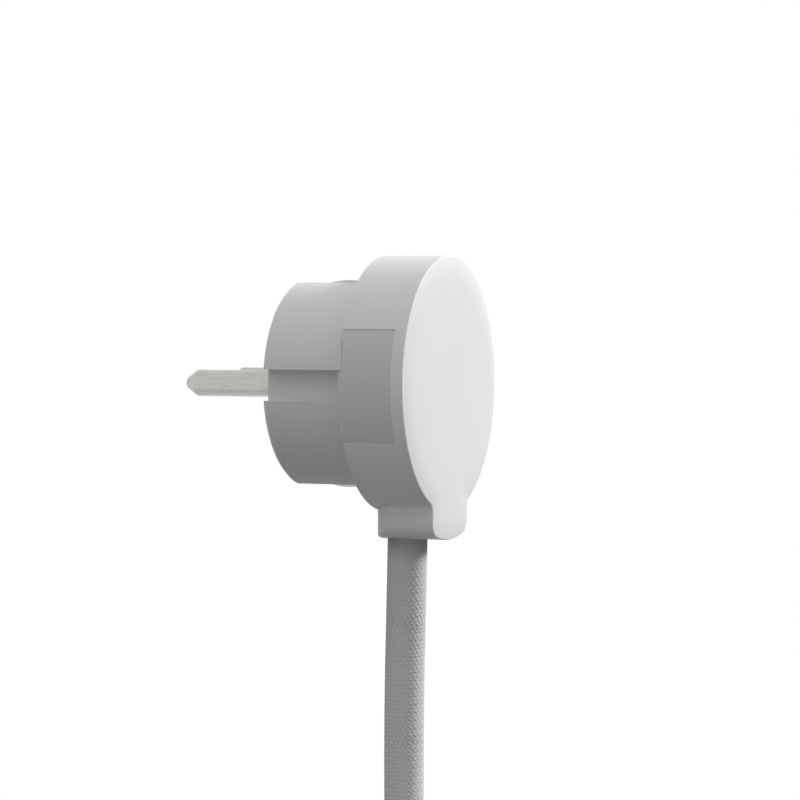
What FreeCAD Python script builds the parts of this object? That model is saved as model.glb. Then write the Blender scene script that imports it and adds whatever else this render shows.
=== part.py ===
import FreeCAD, Part
import Sketcher
import math
import os

# Flat low profile plug: two round pins, an earth strip with two side contacts, a flat round cover
# and a textile cord that leaves downward through a short tongue.
# Frame in millimetres: X right, Z up, Y along the pins. The origin is the middle of the
# engagement face, halfway between the pins. The cover's front looks along -Y.

SIZES = {
    # contact pins
    "pin_dia": 4.8,
    "pin_reach": 19.0,
    "pin_nose_length": 2.4,
    "pin_nose_dia": 2.4,
    "pin_nose_round": 1.5,
    "pin_spacing": 19.0,
    "pin_root_dia": 5.6,
    "pin_collar_dia": 7.0,
    "pin_collar_depth": 1.2,
    # crimp barrels on the pins and on the earth strip
    "barrel_dia": 4.0,
    "barrel_length": 5.5,
    "barrel_bore_depth": 4.0,
    # contact base
    "boss_dia": 37.5,
    "boss_depth": 16.5,
    "boss_edge_bevel": 0.8,
    "face_wall": 4.5,
    "tower_dia": 9.0,
    "tower_height": 4.0,
    "flange_thickness": 2.0,
    "guide_width": 5.6,
    "guide_depth": 3.0,
    "groove_width": 9.0,
    "groove_depth": 1.8,
    "well_half_width": 13.5,
    "well_top": 14.5,
    "well_corner": 6.0,
    # earth strip and earth sleeve
    "strip_width": 8.0,
    "strip_thickness": 0.8,
    "strip_bend": 1.2,
    "strip_inset": 0.1,
    "strip_end_margin": 1.6,
    "earth_barrel_drop": 5.0,
    "earth_pin_offset": 10.0,
    "earth_mouth_dia": 5.8,
    "earth_bore_dia": 4.9,
    "sleeve_dia": 6.4,
    "sleeve_length": 8.0,
    "sleeve_seat": 1.5,
    # cover
    "cover_dia": 46.0,
    "cover_thickness": 12.65,
    "cover_front_wall": 1.8,
    "cover_rim_wall": 1.6,
    "cover_ledge": 1.4,
    "crown_width": 5.0,
    "crown_drop": 0.55,
    "tongue_width": 17.2,
    "tongue_length": 4.9,
    "tongue_corner": 2.8,
    "tongue_back_corner": 5.0,
    "neck_round": 1.6,
    "grip_height": 20.0,
    "grip_depth": 0.12,
    "grip_front_margin": 2.2,
    "nail_slot_height": 0.6,
    "nail_tab": 5.0,
    # cord inside the plug
    "cord_dia": 7.0,
    "cord_standoff": 4.0,
    "braid_entry": 5.2,
    "jacket_dia": 6.0,
    "jacket_show": 0.5,
    "core_dia": 2.2,
    "wire_dia": 1.4,
    "wire_show": 1.0,
    "core_circle": 1.3,
    # cord clamp
    "clamp_margin": 0.6,
    "clamp_length": 3.6,
    "clamp_half_width": 8.8,
    "clamp_ear_thickness": 1.8,
    "clamp_arch_wall": 1.6,
    "clamp_screw_reach": 6.8,
    "clamp_post_dia": 4.6,
    "post_land": 0.7,
    "screw_dia": 2.0,
    "screw_depth": 3.0,
    "screw_head_dia": 3.8,
    "screw_head_height": 1.4,
    "screw_slot_width": 0.6,
    "screw_slot_depth": 0.6,
    # clearance between pieces that slide together
    "fit_gap": 0.1,
    # hank of put-away cord below the plug
    "hank_drop": 172.6,
    "hank_loop_reach": 64.0,
    "hank_loop_round": 24.6,
    "hank_waist_width": 14.6,
    "hank_waist_height": 25.0,
    "hank_setback": 1.3,
    "hank_pitch": 7.3,
    "tie_height": 14.0,
    "tie_thickness": 1.2,
    # free end of the cord
    "tail_length": 47.0,
    "tail_sleeve_length": 14.0,
    "tail_sleeve_wall": 0.5,
    "tail_core_run": 8.0,
    "tail_core_splay": 14.0,
    "tail_core_length": 20.0,
    "ferrule_length": 8.0,
    "ferrule_wall": 0.25,
}

# Straight steps that make up the cover's crown
CROWN_STEPS = 3

doc = FreeCAD.newDocument("flat_plug")
sheet = doc.addObject("Spreadsheet::Sheet", "sizes")
for row, (alias, number) in enumerate(SIZES.items(), start=1):
    sheet.set("A%d" % row, alias)
    sheet.set("B%d" % row, str(number))
    sheet.setAlias("B%d" % row, alias)
doc.recompute()


class Size:
    """A length that knows its number and the sheet expression it comes from."""

    def __init__(self, number, text):
        self.number = number
        self.text = text

    def _other(self, other):
        return other if isinstance(other, Size) else Size(float(other), repr(float(other)))

    def __add__(self, other):
        other = self._other(other)
        return Size(self.number + other.number, "(%s + %s)" % (self.text, other.text))

    def __sub__(self, other):
        other = self._other(other)
        return Size(self.number - other.number, "(%s - %s)" % (self.text, other.text))

    def __mul__(self, other):
        other = self._other(other)
        return Size(self.number * other.number, "(%s * %s)" % (self.text, other.text))

    def __truediv__(self, other):
        other = self._other(other)
        return Size(self.number / other.number, "(%s / %s)" % (self.text, other.text))

    def __neg__(self):
        return Size(-self.number, "(0 - %s)" % self.text)

    def root(self):
        return Size(math.sqrt(self.number), "sqrt(%s)" % self.text)


class Sizes:
    """Every cell of the sheet as a Size."""

    def __getattr__(self, alias):
        return Size(float(sheet.get(alias)), "sizes." + alias)


at = Sizes()
NIL = Size(0.0, "0")


def bind(item, prop, size):
    item.setExpression(prop, size.text)


def new_body(label):
    body = doc.addObject("PartDesign::Body", label)
    body.Label = label
    return body


def plane_of(body, role):
    return [f for f in body.Origin.OriginFeatures if f.Role == role][0]


def new_sketch(body, role, name, offset=NIL):
    sketch = body.newObject("Sketcher::SketchObject", name)
    sketch.AttachmentSupport = (plane_of(body, role), [""])
    sketch.MapMode = "FlatFace"
    bind(sketch, "AttachmentOffset.Base.z", offset)
    return sketch


def pin_point(sketch, geometry, end, point, name):
    """Ties one end of a line or an arc to a place given by two sizes."""
    for kind, size, axis in (("DistanceX", point[0], "x"), ("DistanceY", point[1], "y")):
        index = sketch.addConstraint(Sketcher.Constraint(kind, -1, 1, geometry, end, size.number))
        sketch.renameConstraint(index, name + axis)
        bind(sketch, "Constraints." + name + axis, size)


def path(sketch, name, points, arcs=None, closed=True):
    """Draws a chain through points. arcs maps a corner number to the radius of the arc that starts
    there and to its turn: 1 anticlockwise, -1 clockwise."""
    arcs = arcs or {}
    last = len(points) if closed else len(points) - 1
    drawn = []
    for i in range(last):
        a = FreeCAD.Vector(points[i][0].number, points[i][1].number, 0)
        b_point = points[(i + 1) % len(points)]
        b = FreeCAD.Vector(b_point[0].number, b_point[1].number, 0)
        if i not in arcs:
            drawn.append((sketch.addGeometry(Part.LineSegment(a, b), False), 1, 2))
            continue
        radius, turn = arcs[i]
        half = (b - a) * 0.5
        rise = math.sqrt(max(radius.number ** 2 - half.Length ** 2, 0.0))
        side = FreeCAD.Vector(-half.y, half.x, 0).normalize() * rise * turn
        centre = a + half + side
        start, stop = (a, b) if turn > 0 else (b, a)
        first = math.atan2(start.y - centre.y, start.x - centre.x)
        second = math.atan2(stop.y - centre.y, stop.x - centre.x)
        circle = Part.Circle(centre, FreeCAD.Vector(0, 0, 1), radius.number)
        index = sketch.addGeometry(Part.ArcOfCircle(circle, first, second), False)
        bound = sketch.addConstraint(Sketcher.Constraint("Radius", index, radius.number))
        sketch.renameConstraint(bound, "%s_r%d" % (name, i))
        bind(sketch, "Constraints.%s_r%d" % (name, i), radius)
        drawn.append((index, 1, 2) if turn > 0 else (index, 2, 1))
    for i, (geometry, begin, end) in enumerate(drawn):
        pin_point(sketch, geometry, begin, points[i], "%s_p%d" % (name, i))
        if i + 1 < len(drawn) or closed:
            after = drawn[(i + 1) % len(drawn)]
            sketch.addConstraint(Sketcher.Constraint("Coincident", geometry, end, after[0], after[1]))
        else:
            pin_point(sketch, geometry, end, points[-1], "%s_end" % name)


def box_path(sketch, name, left, right, low, high):
    path(sketch, name, [(left, low), (right, low), (right, high), (left, high)])


def round_path(sketch, name, centre, radius):
    middle = FreeCAD.Vector(centre[0].number, centre[1].number, 0)
    index = sketch.addGeometry(Part.Circle(middle, FreeCAD.Vector(0, 0, 1), radius.number), False)
    bound = sketch.addConstraint(Sketcher.Constraint("Radius", index, radius.number))
    sketch.renameConstraint(bound, name + "_r")
    bind(sketch, "Constraints." + name + "_r", radius)
    pin_point(sketch, index, 3, centre, name)


def extrude(body, kind, name, sketch, length, backward=False, both_ways=False):
    feature = body.newObject("PartDesign::" + kind, name)
    feature.Profile = sketch
    bind(feature, "Length", length)
    feature.Reversed = backward
    if both_ways:
        feature.SideType = "Symmetric"
    doc.recompute()
    return feature


def turn_round(body, kind, name, sketch, angle=Size(360.0, "360")):
    """Revolves a profile drawn in the XY plane round the Y axis."""
    feature = body.newObject("PartDesign::" + kind, name)
    feature.Profile = sketch
    feature.ReferenceAxis = (sketch, ["V_Axis"])
    bind(feature, "Angle", angle)
    feature.Midplane = angle.number < 360.0
    doc.recompute()
    return feature


def mirror(body, name, originals, role):
    feature = body.newObject("PartDesign::Mirrored", name)
    feature.Originals = originals
    feature.MirrorPlane = (plane_of(body, role), [""])
    body.Tip = feature
    doc.recompute()
    return feature


def loft(body, name, sketches):
    """Spans a solid over outlines that lie one behind the other, straight from each to the next."""
    feature = body.newObject("PartDesign::AdditiveLoft", name)
    feature.Profile = sketches[0]
    feature.Sections = sketches[1:]
    feature.Ruled = True
    doc.recompute()
    return feature


# Planes and radii that several pieces share
rim_y = -at.boss_depth
front_y = -(at.boss_depth + at.cover_thickness)
side_y = front_y + at.crown_drop
ledge_y = -(at.boss_depth + at.flange_thickness)
cord_y = -(at.boss_depth + at.cord_standoff)
cover_r = at.cover_dia / 2
boss_r = at.boss_dia / 2
pin_r = at.pin_dia / 2
root_r = at.pin_root_dia / 2
cord_r = at.cord_dia / 2
jacket_r = at.jacket_dia / 2
seat_r = cover_r - at.cover_rim_wall
tongue_z = -(cover_r + at.tongue_length)
braid_top_z = tongue_z + at.braid_entry
tower_y = -(at.face_wall + at.tower_height)
barrel_y = tower_y - at.pin_collar_depth - at.barrel_length
strip_y = -(at.face_wall + at.strip_thickness)
groove_floor = boss_r - at.groove_depth
hollow_r = seat_r - at.cover_ledge

# The clamp lies as low as its lower corners clear the cover's hollow; the base's well ends above its
# posts, and the sheath shows a little inside the well
corner_r = hollow_r - at.clamp_margin
clamp_low = (corner_r * corner_r - at.clamp_half_width * at.clamp_half_width).root()
clamp_z = -(clamp_low - at.clamp_length / 2)
well_low = clamp_z + at.clamp_post_dia / 2 + at.post_land
jacket_top = well_low + at.jacket_show

# The earth strip's middle line: straight bridge, bend and bowed leg
strip_half = at.strip_thickness / 2
bridge_y = -(at.face_wall + strip_half)
apex_z = boss_r - strip_half - at.strip_inset
sag = at.groove_depth - at.strip_thickness - at.strip_inset
bow_end_y = -(at.boss_depth - at.strip_end_margin)
bow_mid_y = (bow_end_y + bridge_y - at.strip_bend) / 2
chord = bow_mid_y - bow_end_y
bow_r = (chord * chord + sag * sag) / (sag * 2)
bow_z = apex_z - bow_r
bend_y = bridge_y - at.strip_bend
swing = bow_r - at.strip_bend
bend_z = bow_z + (swing * swing - (bend_y - bow_mid_y) * (bend_y - bow_mid_y)).root()
meet_y = bow_mid_y + (bend_y - bow_mid_y) * bow_r / swing
meet_z = bow_z + (bend_z - bow_z) * bow_r / swing


# Front cover: tongue, disc, hollow, cord passage, grip recesses and nail slots
cover = new_body("front_cover")
half = at.tongue_width / 2
neck = at.neck_round
corner = at.tongue_corner
neck_reach = cover_r + neck
neck_z = (neck_reach * neck_reach - (half + neck) * (half + neck)).root()
touch_x = (half + neck) * cover_r / neck_reach
touch_z = neck_z * cover_r / neck_reach
tip_r = cover_r + at.tongue_length
corner_reach = tip_r - corner
corner_z = (corner_reach * corner_reach - (half - corner) * (half - corner)).root()
tip_x = (half - corner) * tip_r / corner_reach
tip_z = corner_z * tip_r / corner_reach
tongue_root = cover_r / 2
tongue_points = [
    (-touch_x, -touch_z),
    (-half, -neck_z),
    (-half, -corner_z),
    (-tip_x, -tip_z),
    (tip_x, -tip_z),
    (half, -corner_z),
    (half, -neck_z),
    (touch_x, -touch_z),
]
tongue_arcs = {0: (neck, -1), 2: (corner, 1), 3: (tip_r, 1), 4: (corner, 1), 6: (neck, -1)}
outline = new_sketch(cover, "XZ_Plane", "tongue_outline", at.boss_depth)
path(outline, "tongue", tongue_points + [(touch_x, -tongue_root), (-touch_x, -tongue_root)], tongue_arcs)
extrude(cover, "Pad", "tongue", outline, at.cover_thickness - at.crown_drop)

back = at.tongue_back_corner
backs = new_sketch(cover, "XY_Plane", "tongue_back_corners", tongue_z)
path(
    backs,
    "left",
    [
        (-(half - back), rim_y),
        (-half, rim_y - back),
        (-cover_r, rim_y - back),
        (-cover_r, rim_y),
    ],
    {0: (back, 1)},
)
path(
    backs,
    "right",
    [
        (half - back, rim_y),
        (half, rim_y - back),
        (cover_r, rim_y - back),
        (cover_r, rim_y),
    ],
    {0: (back, -1)},
)
extrude(cover, "Pocket", "tongue_back", backs, cover_r, backward=True)

section = new_sketch(cover, "XY_Plane", "disc_section")
box_path(section, "disc", NIL, cover_r, side_y, rim_y)
turn_round(cover, "Revolution", "disc", section)

# The front is flat in its middle and falls off toward its rim in a soft crown: a parabola in straight
# steps, over outlines that shrink toward the middle of the disc as they rise
keyhole_points = tongue_points + [(cover_r, NIL), (NIL, cover_r), (-cover_r, NIL)]
keyhole_arcs = dict(tongue_arcs)
for place in range(len(tongue_points) - 1, len(keyhole_points)):
    keyhole_arcs[place] = (cover_r, 1)
levels = []
for step in range(CROWN_STEPS + 1):
    share = step / CROWN_STEPS
    shrink = (cover_r - at.crown_width * share) / cover_r
    lift = at.crown_drop * (share * (2 - share))
    level = new_sketch(cover, "XZ_Plane", "crown_level_%d" % step, lift - side_y)
    path(level, "level_%d" % step, [(x * shrink, z * shrink) for x, z in keyhole_points],
         {place: (radius * shrink, turn) for place, (radius, turn) in keyhole_arcs.items()})
    levels.append(level)
loft(cover, "crown", levels)

seat = new_sketch(cover, "XZ_Plane", "flange_seat_outline", at.boss_depth)
round_path(seat, "seat", (NIL, NIL), seat_r)
extrude(cover, "Pocket", "flange_seat", seat, at.flange_thickness, backward=True)
hollow = new_sketch(cover, "XZ_Plane", "hollow_outline", at.boss_depth)
round_path(hollow, "hollow", (NIL, NIL), hollow_r)
extrude(cover, "Pocket", "hollow", hollow, at.cover_thickness - at.cover_front_wall, backward=True)

passage = new_sketch(cover, "XY_Plane", "braid_hole", tongue_z)
round_path(passage, "braid", (NIL, cord_y), cord_r)
extrude(cover, "Pocket", "braid_passage", passage, at.braid_entry, backward=True)
inner = new_sketch(cover, "XY_Plane", "jacket_hole", tongue_z)
round_path(inner, "jacket", (NIL, cord_y), jacket_r + at.fit_gap)
extrude(cover, "Pocket", "jacket_passage", inner, tip_r - hollow_r + jacket_r, backward=True)

grip = new_sketch(cover, "XY_Plane", "grip_section")
box_path(grip, "grip", cover_r - at.grip_depth, cover_r + at.grip_depth, side_y + at.grip_front_margin,
         rim_y + at.grip_depth)
ratio = at.grip_height / at.cover_dia
grip_angle = Size(2 * math.degrees(math.asin(ratio.number)), "(2 * asin(%s) / 1 deg)" % ratio.text)
recess = turn_round(cover, "Groove", "grip_recess", grip, grip_angle)
slots = new_sketch(cover, "XZ_Plane", "nail_slot_outline", at.boss_depth)
tab = at.nail_tab / 2
grip_half = at.grip_height / 2
box_path(slots, "upper", seat_r, cover_r + at.fit_gap, tab, grip_half)
box_path(slots, "lower", seat_r, cover_r + at.fit_gap, -grip_half, -tab)
nails = extrude(cover, "Pocket", "nail_slots", slots, at.nail_slot_height, backward=True)
mirror(cover, "both_sides", [recess, nails], "YZ_Plane")


# Contact base: flange and boss with guide notches, earth grooves, well, pin towers and holes
base = new_body("contact_base")
flange_r = seat_r - at.fit_gap
section = new_sketch(base, "XY_Plane", "base_section")
path(
    section,
    "base",
    [
        (NIL, ledge_y),
        (flange_r, ledge_y),
        (flange_r, rim_y),
        (boss_r, rim_y),
        (boss_r, -at.boss_edge_bevel),
        (boss_r - at.boss_edge_bevel, NIL),
        (NIL, NIL),
    ],
)
turn_round(base, "Revolution", "flange_and_boss", section)

cuts = new_sketch(base, "XZ_Plane", "notch_outline")
guide = at.guide_width / 2
guide_floor = boss_r - at.guide_depth
box_path(cuts, "guide_right", guide_floor, boss_r + at.fit_gap, -guide, guide)
box_path(cuts, "guide_left", -(boss_r + at.fit_gap), -guide_floor, -guide, guide)
groove = at.groove_width / 2
box_path(cuts, "groove_top", -groove, groove, groove_floor, boss_r + at.fit_gap)
box_path(cuts, "groove_bottom", -groove, groove, -(boss_r + at.fit_gap), -groove_floor)
cut_notches = extrude(base, "Pocket", "notches", cuts, at.boss_depth, backward=True)

well = new_sketch(base, "XZ_Plane", "well_outline", at.boss_depth + at.flange_thickness)
wide = at.well_half_width
bend = at.well_corner
path(
    well,
    "well",
    [
        (-wide + bend, well_low),
        (wide - bend, well_low),
        (wide, well_low + bend),
        (wide, at.well_top - bend),
        (wide - bend, at.well_top),
        (-wide + bend, at.well_top),
        (-wide, at.well_top - bend),
        (-wide, well_low + bend),
    ],
    {1: (bend, 1), 3: (bend, 1), 5: (bend, 1), 7: (bend, 1)},
)
extrude(base, "Pocket", "well", well, at.boss_depth + at.flange_thickness - at.face_wall)

towers = new_sketch(base, "XZ_Plane", "tower_outline", at.face_wall)
pin_x = at.pin_spacing / 2
round_path(towers, "tower_left", (-pin_x, NIL), at.tower_dia / 2)
round_path(towers, "tower_right", (pin_x, NIL), at.tower_dia / 2)
extrude(base, "Pad", "towers", towers, at.tower_height)

posts = new_sketch(base, "XZ_Plane", "post_outline", at.boss_depth + at.flange_thickness)
screw_x = at.clamp_screw_reach
round_path(posts, "post_left", (-screw_x, clamp_z), at.clamp_post_dia / 2)
round_path(posts, "post_right", (screw_x, clamp_z), at.clamp_post_dia / 2)
extrude(base, "Pad", "posts", posts, at.cord_standoff - at.flange_thickness)

holes = new_sketch(base, "XZ_Plane", "pin_hole_outline")
round_path(holes, "pin_left", (-pin_x, NIL), root_r)
round_path(holes, "pin_right", (pin_x, NIL), root_r)
round_path(holes, "earth", (NIL, at.earth_pin_offset), at.earth_mouth_dia / 2)
extrude(base, "Pocket", "pin_holes", holes, at.face_wall + at.tower_height, backward=True)
seat = new_sketch(base, "XZ_Plane", "sleeve_seat_outline", at.face_wall)
round_path(seat, "sleeve", (NIL, at.earth_pin_offset), at.sleeve_dia / 2)
extrude(base, "Pocket", "sleeve_seat", seat, at.sleeve_seat)

screw_holes = new_sketch(base, "XZ_Plane", "screw_hole_outline", at.boss_depth + at.cord_standoff)
round_path(screw_holes, "screw_left", (-screw_x, clamp_z), at.screw_dia / 2)
round_path(screw_holes, "screw_right", (screw_x, clamp_z), at.screw_dia / 2)
extrude(base, "Pocket", "screw_holes", screw_holes, at.screw_depth)

strip_slot = new_sketch(base, "YZ_Plane", "strip_slot_outline")
box_path(strip_slot, "slot", strip_y - at.fit_gap, -at.face_wall, -boss_r, boss_r)
extrude(base, "Pocket", "strip_slot", strip_slot, at.strip_width + at.fit_gap * 2, both_ways=True)
relief = new_sketch(base, "YZ_Plane", "bend_relief_outline")
relief_y = bend_y - at.strip_bend
relief_z = bend_z - at.fit_gap
box_path(relief, "relief_top", relief_y, -at.face_wall, relief_z, boss_r)
box_path(relief, "relief_bottom", relief_y, -at.face_wall, -boss_r, -relief_z)
extrude(base, "Pocket", "bend_relief", relief, at.strip_width + at.fit_gap * 2, both_ways=True)

trough = new_sketch(base, "XY_Plane", "trough_outline", -cover_r)
round_path(trough, "trough", (NIL, cord_y), jacket_r + at.fit_gap)
extrude(base, "Pocket", "cord_trough", trough, cover_r + well_low, backward=True)


# Contact pins: round tip, root in the base's wall, collar behind the tower and crimp barrel
def contact_pin(label, place):
    body = new_body(label)
    sketch = new_sketch(body, "XY_Plane", label + "_section")
    wire_r = at.wire_dia / 2
    barrel_r = at.barrel_dia / 2
    collar_r = at.pin_collar_dia / 2
    collar_y = tower_y - at.pin_collar_depth
    bore_y = barrel_y + at.barrel_bore_depth
    nose_r = at.pin_nose_dia / 2
    nose_y = at.pin_reach - at.pin_nose_round + (at.pin_nose_round * at.pin_nose_round - nose_r * nose_r).root()
    path(
        sketch,
        "pin",
        [
            (NIL, at.pin_reach),
            (NIL, bore_y),
            (wire_r, bore_y),
            (wire_r, barrel_y),
            (barrel_r, barrel_y),
            (barrel_r, collar_y),
            (collar_r, collar_y),
            (collar_r, tower_y),
            (root_r, tower_y),
            (root_r, NIL),
            (pin_r, NIL),
            (pin_r, at.pin_reach - at.pin_nose_length),
            (nose_r, nose_y),
        ],
        {12: (at.pin_nose_round, 1)},
    )
    turn_round(body, "Revolution", label + "_turned", sketch)
    bind(body, "Placement.Base.x", place)
    return body


line_pin = contact_pin("line_pin", -pin_x)
neutral_pin = contact_pin("neutral_pin", pin_x)


# Earth strip: bridge behind the engagement wall, bent outward into a bowed spring leg at each end
strip = new_body("earth_strip")
spine = new_sketch(strip, "YZ_Plane", "strip_spine")
path(
    spine,
    "spine",
    [(bridge_y, NIL), (bridge_y, bend_z), (meet_y, meet_z), (bow_end_y, apex_z - sag)],
    {1: (at.strip_bend, 1), 2: (bow_r, 1)},
    closed=False,
)
blank = new_sketch(strip, "XY_Plane", "strip_blank")
box_path(blank, "blank", -(at.strip_width / 2), at.strip_width / 2, strip_y, -at.face_wall)
leg = strip.newObject("PartDesign::AdditivePipe", "upper_leg")
leg.Profile = blank
leg.Spine = (spine, ["Edge1", "Edge2", "Edge3"])
doc.recompute()
mirror(strip, "lower_leg", [leg], "XY_Plane")
stub = new_sketch(strip, "XZ_Plane", "barrel_outline", at.face_wall + at.strip_thickness)
round_path(stub, "barrel", (NIL, -at.earth_barrel_drop), at.barrel_dia / 2)
extrude(strip, "Pad", "barrel", stub, at.barrel_length)
strip_barrel_y = strip_y - at.barrel_length
bores = new_sketch(strip, "XZ_Plane", "bore_outline", at.face_wall + at.strip_thickness + at.barrel_length)
round_path(bores, "bore", (NIL, -at.earth_barrel_drop), at.wire_dia / 2)
extrude(strip, "Pocket", "bore", bores, at.barrel_bore_depth)
eye = new_sketch(strip, "XZ_Plane", "eye_outline", at.face_wall + at.strip_thickness)
round_path(eye, "eye", (NIL, at.earth_pin_offset), at.sleeve_dia / 2)
strip.Tip = extrude(strip, "Pocket", "eye", eye, at.strip_thickness)


# Earth sleeve: plain tube through the strip's eye into its seat in the base's wall
sleeve = new_body("earth_sleeve")
section = new_sketch(sleeve, "XY_Plane", "sleeve_section")
sleeve_y = at.sleeve_seat - at.face_wall
box_path(section, "sleeve", at.earth_bore_dia / 2, at.sleeve_dia / 2, sleeve_y - at.sleeve_length, sleeve_y)
turn_round(sleeve, "Revolution", "sleeve", section)
bind(sleeve, "Placement.Base.z", at.earth_pin_offset)


# Cord clamp: saddle over the sheath with an ear on each side
clamp = new_body("cord_clamp")
saddle = new_sketch(clamp, "XY_Plane", "saddle_outline", clamp_z)
ear_y = cord_y - at.clamp_ear_thickness
arch_r = jacket_r + at.clamp_arch_wall
arch_x = (arch_r * arch_r - at.clamp_ear_thickness * at.clamp_ear_thickness).root()
path(
    saddle,
    "saddle",
    [
        (-jacket_r, cord_y),
        (-at.clamp_half_width, cord_y),
        (-at.clamp_half_width, ear_y),
        (-arch_x, ear_y),
        (NIL, cord_y - arch_r),
        (arch_x, ear_y),
        (at.clamp_half_width, ear_y),
        (at.clamp_half_width, cord_y),
        (jacket_r, cord_y),
        (NIL, cord_y - jacket_r),
    ],
    {3: (arch_r, 1), 4: (arch_r, 1), 8: (jacket_r, -1), 9: (jacket_r, -1)},
)
extrude(clamp, "Pad", "saddle", saddle, at.clamp_length, both_ways=True)
ears = new_sketch(clamp, "XZ_Plane", "ear_hole_outline", at.boss_depth + at.cord_standoff)
round_path(ears, "ear_left", (-screw_x, clamp_z), at.screw_dia / 2 + at.fit_gap)
round_path(ears, "ear_right", (screw_x, clamp_z), at.screw_dia / 2 + at.fit_gap)
extrude(clamp, "Pocket", "ear_holes", ears, at.clamp_ear_thickness, backward=True)


# Clamp screws: two alike, slotted heads on the ears
def clamp_screw(name, place):
    body = new_body(name)
    sketch = new_sketch(body, "XY_Plane", name + "_section")
    shank = at.screw_dia / 2
    head = at.screw_head_dia / 2
    path(
        sketch,
        "screw",
        [
            (NIL, cord_y + at.screw_depth),
            (NIL, ear_y - at.screw_head_height),
            (head, ear_y - at.screw_head_height),
            (head, ear_y),
            (shank, ear_y),
            (shank, cord_y + at.screw_depth),
        ],
    )
    turn_round(body, "Revolution", name + "_turned", sketch)
    slot = new_sketch(body, "XZ_Plane", name + "_slot", -ear_y + at.screw_head_height)
    box_path(slot, "slot", -head, head, -(at.screw_slot_width / 2), at.screw_slot_width / 2)
    extrude(body, "Pocket", name + "_slotted", slot, at.screw_slot_depth)
    bind(body, "Placement.Base.x", place)
    bind(body, "Placement.Base.z", clamp_z)
    return body


screws = doc.addObject("Part::Compound", "clamp_screws")
screws.Label = "clamp_screws"
screws.Links = [clamp_screw("left_screw", -screw_x), clamp_screw("right_screw", screw_x)]


# Round bars: sheath, wire ends and straight runs of cord
def bar(label, radius, low, high, x, y):
    """Upright round bar between two heights."""
    item = doc.addObject("Part::Cylinder", label)
    item.Label = label
    bind(item, "Radius", radius)
    bind(item, "Height", high - low)
    bind(item, "Placement.Base.x", x)
    bind(item, "Placement.Base.y", y)
    bind(item, "Placement.Base.z", low)
    return item


def wire_end(label, x, z, deep_y, mouth_y):
    """Bared conductor end lying along Y in a crimp barrel."""
    body = new_body(label)
    sketch = new_sketch(body, "XZ_Plane", label + "_outline", -deep_y)
    round_path(sketch, "wire", (x, z), at.wire_dia / 2)
    extrude(body, "Pad", label + "_pad", sketch, deep_y - mouth_y)
    return body


hank_z = -at.hank_drop
waist_top = hank_z + at.hank_waist_height / 2
waist_low = hank_z - at.hank_waist_height / 2
jacket = bar("cord_jacket", jacket_r, braid_top_z, jacket_top, NIL, cord_y)
supply = bar("supply_cord", cord_r, waist_top, braid_top_z, NIL, cord_y)
pin_bore_y = barrel_y + at.barrel_bore_depth
pin_core_y = barrel_y - at.wire_show
earth_bore_y = strip_barrel_y + at.barrel_bore_depth
earth_core_y = strip_barrel_y - at.wire_show
earth_z = -at.earth_barrel_drop
line_wire = wire_end("line_wire", -pin_x, NIL, pin_bore_y, pin_core_y)
neutral_wire = wire_end("neutral_wire", pin_x, NIL, pin_bore_y, pin_core_y)
earth_wire = wire_end("earth_wire", NIL, earth_z, earth_bore_y, earth_core_y)


# Cores: straight runs with mitred corners
def tube(label, points, radius):
    item = doc.addObject("Part::Feature", label)
    item.Label = label
    line = Part.makePolygon(points)
    facing = (points[1] - points[0]).normalize()
    ring = Part.Wire([Part.Circle(points[0], facing, radius.number).toShape()])
    mitred = 1
    item.Shape = line.makePipeShell([ring], True, True, mitred)
    full = math.pi * radius.number ** 2 * line.Length
    print("%s volume over section times length %.4f" % (label, item.Shape.Volume / full))
    return item


def spot(x, y, z):
    return FreeCAD.Vector(x.number, y.number, z.number)


circle = at.core_circle
lift_z = jacket_top + at.clamp_length
fall_y = cord_y - at.core_circle
for_line = cord_y + at.core_circle / 2
line_core = tube(
    "line_core",
    [
        spot(-circle, for_line, jacket_top),
        spot(-circle, for_line, lift_z),
        spot(-pin_x, fall_y, NIL),
        spot(-pin_x, pin_core_y, NIL),
    ],
    at.core_dia / 2,
)
neutral_core = tube(
    "neutral_core",
    [
        spot(circle, for_line, jacket_top),
        spot(circle, for_line, lift_z),
        spot(pin_x, fall_y, NIL),
        spot(pin_x, pin_core_y, NIL),
    ],
    at.core_dia / 2,
)
earth_core = tube(
    "earth_core",
    [spot(NIL, fall_y, jacket_top), spot(NIL, fall_y, earth_z), spot(NIL, earth_core_y, earth_z)],
    at.core_dia / 2,
)


# Hank: loops above and below a waist held by a tie; turns are stacked toward the front
hank = new_body("cord_hank")
hank_y = cord_y - at.hank_setback
waist = at.hank_waist_width / 2
loop = at.hank_loop_round
pitch = at.hank_pitch


def hank_loop(name, tip_z, waist_z, back_y, depth, turn):
    sketch = new_sketch(hank, "XZ_Plane", name + "_outline", -back_y)
    path(
        sketch,
        name,
        [(waist, waist_z), (loop, tip_z), (NIL, tip_z + loop * turn), (-loop, tip_z), (-waist, waist_z)],
        {1: (loop, turn), 2: (loop, turn)},
    )
    extrude(hank, "Pad", name, sketch, depth)


belt = new_sketch(hank, "XZ_Plane", "waist_outline", -(hank_y + cord_r))
box_path(belt, "waist", -waist, waist, waist_low, waist_top)
extrude(hank, "Pad", "waist", belt, pitch * 4 + at.cord_dia)
hank_loop("upper_loops", hank_z + at.hank_loop_reach, waist_top, hank_y - pitch + cord_r,
          pitch * 3 + at.cord_dia, 1)
hank_loop("lower_loops", hank_z - at.hank_loop_reach, waist_low, hank_y + cord_r, pitch * 3 + at.cord_dia, -1)

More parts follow.
